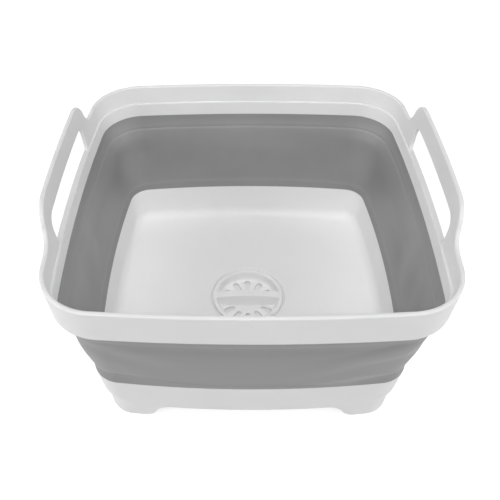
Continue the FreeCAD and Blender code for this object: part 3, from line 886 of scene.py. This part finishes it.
def signed_distances(points):
    """How far each point lies round a closed outline from mid-front, less than zero on the left."""
    gaps = [(after - before).length for before, after in zip(points, points[1:] + points[:1])]
    front = min(range(len(points)), key=lambda k: (round(points[k].y, 6), abs(points[k].x)))
    whole = sum(gaps)
    found = [0.0] * len(points)
    travelled = 0.0
    for step in range(len(points)):
        k = (front + step) % len(points)
        found[k] = travelled if travelled <= whole / 2 else travelled - whole
        travelled += gaps[k]
    return found


def corner_share(distance, quarter):
    """How near a place is to a corner, from 0 along a side to 1 in the corner."""
    from_side = abs((distance + quarter / 2) % quarter - quarter / 2)
    return ease(from_side / (quarter / 2), CORNER_START, CORNER_FULL)


def fold_climb(place):
    """The lower fold's share of its full rise at a place; mid-back, at 4, is like mid-front."""
    from_front = math.copysign(min(abs(place), 4 - abs(place)), place)
    return follow_softly(FOLD_LINE, from_front, FOLD_BLUR)


def ring_faces(rows, columns):
    """Faces between neighbouring rows and columns of points, closed both ways."""
    faces = []
    for row in range(rows):
        here = row * columns
        above = (row + 1) % rows * columns
        for column in range(columns):
            beside = (column + 1) % columns
            faces.append((here + column, here + beside, above + beside, above + column))
    return faces


def wall_mesh(sizes):
    """The closed mesh of the folding wall, with its painted light and shade and its paler fold lines as
    an attribute.
    """
    shape = WallShape(sizes)
    steps = (sizes.side_steps, sizes.corner_steps)
    middle = shape.face((shape.lower_fold + shape.upper_fold) / 2).round_trip(*steps)
    along = signed_distances([point for point, out in middle])
    quarter = max(along) / 2
    turns = [corner_share(distance, quarter) for distance in along]
    climbs = [fold_climb(distance / (quarter / 2)) for distance in along]
    panel = shape.high - shape.lower_fold
    points = []
    wear = []
    section = shape.loop()
    for z, face_z, depth, outside in section:
        height = min(1.0, max(0.0, (z - shape.lower_fold) / panel))
        near_fold = bell(z - shape.lower_fold - sizes.crest_reach / 2, sizes.crest_reach)
        ring = shape.face(face_z).round_trip(*steps)
        for (point, out), distance, turn, climb in zip(ring, along, turns, climbs):
            wave = sum(buckle.rise(distance, height) for buckle in BUCKLES)
            crest = near_fold * sum(ridge.rise(distance) for ridge in CRESTS)
            rise = sizes.buckle_lift * wave + sizes.crest_lift * crest
            place = point + out * (rise - depth - shape.slack(z, turn))
            if outside:
                points.append((place.x, place.y, z + shape.climb(z, climb)))
                # Painted light and painted shade on the outer face, with painted highlights on ridges
                # and crests and painted shade in buckle hollows
                wear.append(shape.outer_wear(z, turn) + BUCKLE_PAINTED_LIGHT * wave + CREST_PAINTED_HIGHLIGHT * crest)
            else:
                points.append((place.x, place.y, z))
                # Inner face: paler along the folds and darker over the lower band, with painted
                # highlights and painted shade from the patches
                wear.append(shape.inner_wear(z, turn) + sum(light_patch.wear(distance, height) for light_patch in PAINTED_LIGHT_PATCHES))
    mesh = bpy.data.meshes.new("folding_wall_rubber")
    mesh.from_pydata(points, [], ring_faces(len(section), len(along)))
    mesh.validate()
    mesh.shade_smooth()
    mesh.set_sharp_from_angle(angle=CRISP_ANGLE)
    attribute = mesh.attributes.new("wear", "FLOAT", "POINT")
    attribute.data.foreach_set("value", wear)
    return mesh


# Operators


def finish_node(name, material):
    """Gives a CAD node one material."""
    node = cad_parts[name]
    node.data.materials.clear()
    node.data.materials.append(material)


class BOWL_OT_finish_rim(bpy.types.Operator):
    """Gives the rim frame with its two handles its white plastic"""

    bl_idname = "bowl.finish_rim"
    bl_label = "Finish rim"

    def execute(self, context):
        # Painted shade on the rim's upward faces: 0.82 of their white
        plastic = white_plastic("rim_plastic", scuffs=0.35, painted_top_shade=0.82)
        finish_node("rim_frame", plastic)
        return {"FINISHED"}


class BOWL_OT_finish_tray(bpy.types.Operator):
    """Gives the base tray its white plastic"""

    bl_idname = "bowl.finish_tray"
    bl_label = "Finish tray"

    def execute(self, context):
        plastic = white_plastic("tray_plastic", scuffs=0.5)
        finish_node("base_tray", plastic)
        return {"FINISHED"}


class BOWL_OT_finish_plug(bpy.types.Operator):
    """Gives the drain plug its white plastic and its stopper disc pale rubber"""

    bl_idname = "bowl.finish_plug"
    bl_label = "Finish plug"

    def execute(self, context):
        # The plug's white is a little lighter, painted light for the shade it gets down in the drain
        # well
        plastic = white_plastic("plug_plastic", scuffs=0.4, lightness=1.03)
        finish_node("drain_plug", plastic)
        finish_node("plug_seal", stopper_rubber())
        return {"FINISHED"}


class BOWL_OT_make_wall(bpy.types.Operator):
    """Makes the folding wall's rubber, which turns inside out between tray and rim"""

    bl_idname = "bowl.make_wall"
    bl_label = "Make folding wall"

    def execute(self, context):
        sizes = context.scene.bowl_wall
        shape = WallShape(sizes)
        wall = bpy.data.objects.new("folding_wall_rubber", wall_mesh(sizes))
        context.scene.collection.objects.link(wall)
        wall.data.materials.append(wall_rubber())
        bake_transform(wall)
        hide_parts("folding_wall")
        return {"FINISHED"}


def soft_lamp(name, place, target, size, power):
    """A square area lamp that points at a target."""
    data = bpy.data.lights.new(name, "AREA")
    data.size = size
    data.energy = power
    lamp = bpy.data.objects.new(name, data)
    lamp.location = place
    lamp.rotation_euler = (Vector(target) - Vector(place)).to_track_quat("-Z", "Y").to_euler()
    bpy.context.scene.collection.objects.link(lamp)


def seen_directly(tree):
    """A factor that is 1 for what is seen straight, in a reflection or through something clear."""
    path = add_node(tree, "ShaderNodeLightPath")
    seen = path.outputs["Is Camera Ray"]
    for ray in ("Is Glossy Ray", "Is Transmission Ray"):
        either = add_node(tree, "ShaderNodeMath", operation="MAXIMUM")
        tree.links.new(seen, either.inputs[0])
        tree.links.new(path.outputs[ray], either.inputs[1])
        seen = either.outputs[0]
    return seen


def white_world(strength):
    """Even white light, seen as plain white."""
    world = bpy.data.worlds.new("studio")
    world.use_nodes = True
    tree = world.node_tree
    light = next(node for node in tree.nodes if node.type == "BACKGROUND")
    light.inputs["Color"].default_value = (1, 1, 1, 1)
    light.inputs["Strength"].default_value = strength
    white = add_node(tree, "ShaderNodeBackground", inputs={"Color": (1, 1, 1, 1), "Strength": 1.0})
    mix = add_node(tree, "ShaderNodeMixShader")
    tree.links.new(seen_directly(tree), mix.inputs[0])
    tree.links.new(light.outputs[0], mix.inputs[1])
    tree.links.new(white.outputs[0], mix.inputs[2])
    out = next(node for node in tree.nodes if node.type == "OUTPUT_WORLD")
    tree.links.new(mix.outputs[0], out.inputs["Surface"])
    bpy.context.scene.world = world


def pale_floor(stage):
    """A wide pale floor that is seen as white and keeps the bowl's soft shadow."""
    half = stage.floor_reach
    corners = [(-half, -half, 0), (half, -half, 0), (half, half, 0), (-half, half, 0)]
    mesh = bpy.data.meshes.new("floor")
    mesh.from_pydata(corners, [], [(0, 1, 2, 3)])
    floor = bpy.data.objects.new("floor", mesh)
    bpy.context.scene.collection.objects.link(floor)
    material = bpy.data.materials.new("floor")
    material.use_nodes = True
    tree = material.node_tree
    tree.nodes.clear()
    white = (1, 1, 1)
    bounce = add_node(tree, "ShaderNodeBsdfDiffuse", inputs={"Color": shade(white, stage.floor_bounce)})
    lit = add_node(tree, "ShaderNodeBsdfDiffuse", inputs={"Color": shade(white, stage.floor_lit)})
    glow = add_node(tree, "ShaderNodeEmission", inputs={"Strength": stage.floor_glow})
    shown = add_node(tree, "ShaderNodeAddShader")
    tree.links.new(lit.outputs[0], shown.inputs[0])
    tree.links.new(glow.outputs[0], shown.inputs[1])
    mix = add_node(tree, "ShaderNodeMixShader")
    tree.links.new(seen_directly(tree), mix.inputs[0])
    tree.links.new(bounce.outputs[0], mix.inputs[1])
    tree.links.new(shown.outputs[0], mix.inputs[2])
    out = add_node(tree, "ShaderNodeOutputMaterial")
    tree.links.new(mix.outputs[0], out.inputs["Surface"])
    mesh.materials.append(material)


def photo_camera(stage):
    """The camera at the photograph's viewing angle."""
    ahead = Vector((
        math.sin(stage.yaw) * math.cos(stage.pitch),
        math.cos(stage.yaw) * math.cos(stage.pitch),
        -math.sin(stage.pitch),
    ))
    right = Vector((math.cos(stage.yaw), -math.sin(stage.yaw), 0))
    up = right.cross(ahead)
    turn = Matrix((right, up, -ahead)).transposed() @ Matrix.Rotation(stage.roll, 3, "Z")
    data = bpy.data.cameras.new("camera")
    data.sensor_width = SENSOR_WIDTH
    data.lens = stage.lens
    data.shift_x, data.shift_y = stage.shift
    camera = bpy.data.objects.new("camera", data)
    camera.matrix_world = Matrix.Translation(stage.eye) @ turn.to_4x4()
    bpy.context.scene.collection.objects.link(camera)
    bpy.context.scene.camera = camera


class BOWL_OT_set_stage(bpy.types.Operator):
    """Sets the floor, the soft studio light and the camera"""

    bl_idname = "bowl.set_stage"
    bl_label = "Set stage"

    def execute(self, context):
        stage = context.scene.bowl_stage
        context.scene.view_settings.view_transform = "Standard"
        white_world(stage.sky)
        pale_floor(stage)
        middle = (0, 0, CAD_HIGH.z / 2)
        for name, (place, size) in LAMPS.items():
            soft_lamp(f"{name}_lamp", place, middle, size, getattr(stage, name))
        photo_camera(stage)
        return {"FINISHED"}


class BOWL_PT_sidebar(bpy.types.Panel):
    """Lists the bowl's operators and settings"""

    bl_idname = "BOWL_PT_sidebar"
    bl_label = "Washing-up bowl"
    bl_space_type = "VIEW_3D"
    bl_region_type = "UI"
    bl_category = "Bowl"

    def draw(self, context):
        for operator in OPERATORS:
            self.layout.operator(operator.bl_idname)
        for group in SETTINGS:
            box = self.layout.box()
            for name in SETTINGS[group].__annotations__:
                box.prop(getattr(context.scene, group), name)


OPERATORS = [
    BOWL_OT_finish_rim,
    BOWL_OT_finish_tray,
    BOWL_OT_finish_plug,
    BOWL_OT_make_wall,
    BOWL_OT_set_stage,
]
SETTINGS = {
    "bowl_wall": BOWL_PG_wall,
    "bowl_finish": BOWL_PG_finish,
    "bowl_stage": BOWL_PG_stage,
}


def register():
    """Adds the classes, and the settings to the scene."""
    for cls in [*SETTINGS.values(), *OPERATORS, BOWL_PT_sidebar]:
        bpy.utils.register_class(cls)
    for name, group in SETTINGS.items():
        setattr(bpy.types.Scene, name, PointerProperty(type=group))


def unregister():
    """Takes the settings and the classes away again."""
    for name in SETTINGS:
        delattr(bpy.types.Scene, name)
    for cls in [BOWL_PT_sidebar, *reversed(OPERATORS), *reversed(list(SETTINGS.values()))]:
        bpy.utils.unregister_class(cls)


def main():
    """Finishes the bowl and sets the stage."""
    register()
    bpy.ops.bowl.finish_rim()
    bpy.ops.bowl.finish_tray()
    bpy.ops.bowl.finish_plug()
    bpy.ops.bowl.make_wall()
    bpy.ops.bowl.set_stage()


if __name__ == "__main__":
    main()
